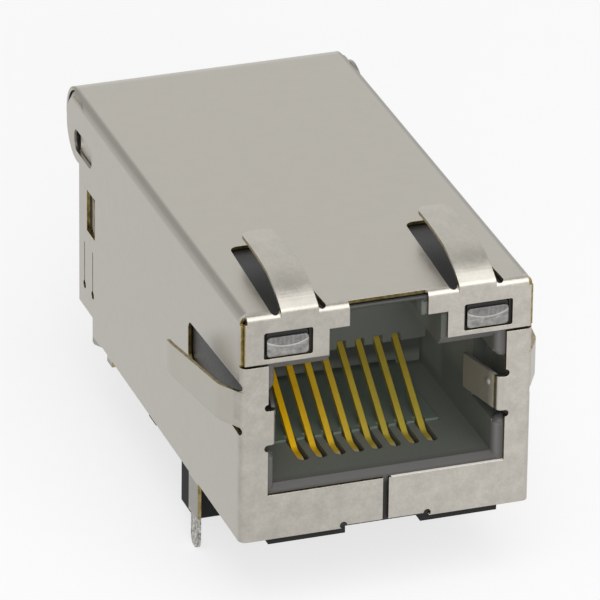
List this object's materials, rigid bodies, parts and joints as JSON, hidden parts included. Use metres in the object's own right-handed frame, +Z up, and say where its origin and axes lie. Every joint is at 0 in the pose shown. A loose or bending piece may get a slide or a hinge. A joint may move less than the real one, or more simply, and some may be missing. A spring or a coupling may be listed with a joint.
{
  "type": "rj45 board jack",
  "caption": "Shielded board jack for a modular network plug, latch side up, with two indicator lights, grounding fingers and pins that solder into a circuit board.",
  "frame": {"origin": "on the circuit board's top face, midway between the two locating posts", "axes": "+Z up from the board, +Y the way the plug goes in, +X to the right seen from the plug's side"},
  "size_m": [0.0192, 0.0309, 0.0183],
  "materials": {
    "shield": "matte tin-plated sheet with a fine mottle",
    "housing": "moulded black thermoplastic",
    "carrier": "moulded black thermoplastic",
    "contact": "gold-plated spring wire",
    "indicator": "clear epoxy lens",
    "indicator_lead": "tinned wire",
    "board": "solder-masked laminate",
    "base": "moulded black thermoplastic",
    "signal_pin": "tinned pin",
    "ferrite": "pressed ferrite",
    "winding": "enamelled copper wire",
    "resistor": "chip resistor",
    "capacitor": "ceramic chip capacitor"
  },
  "bodies": {
    "root": {"shield": "shield", "housing": "housing", "contact_carrier": "carrier", "contact_1": "contact", "contact_2": "contact", "contact_3": "contact", "contact_4": "contact", "contact_5": "contact", "contact_6": "contact", "contact_7": "contact", "contact_8": "contact", "led_left": "indicator", "led_right": "indicator", "led_inner_lead_left": "indicator_lead", "led_outer_lead_left": "indicator_lead", "led_inner_lead_right": "indicator_lead", "led_outer_lead_right": "indicator_lead", "circuit_board": "board", "magnetics_base": "base", "signal_pin_1": "signal_pin", "signal_pin_2": "signal_pin", "signal_pin_3": "signal_pin", "signal_pin_4": "signal_pin", "signal_pin_5": "signal_pin", "signal_pin_6": "signal_pin", "signal_pin_7": "signal_pin", "signal_pin_8": "signal_pin", "signal_pin_9": "signal_pin", "signal_pin_10": "signal_pin", "transformer_core_1": "ferrite", "transformer_core_2": "ferrite", "transformer_core_3": "ferrite", "transformer_core_4": "ferrite", "transformer_winding_1": "winding", "transformer_winding_2": "winding", "transformer_winding_3": "winding", "transformer_winding_4": "winding", "choke_core_1": "ferrite", "choke_core_2": "ferrite", "choke_core_3": "ferrite", "choke_core_4": "ferrite", "choke_winding_1": "winding", "choke_winding_2": "winding", "choke_winding_3": "winding", "choke_winding_4": "winding", "termination_resistor_1": "resistor", "termination_resistor_2": "resistor", "termination_resistor_3": "resistor", "termination_resistor_4": "resistor", "isolation_capacitor": "capacitor"}
  },
  "joints": []
}
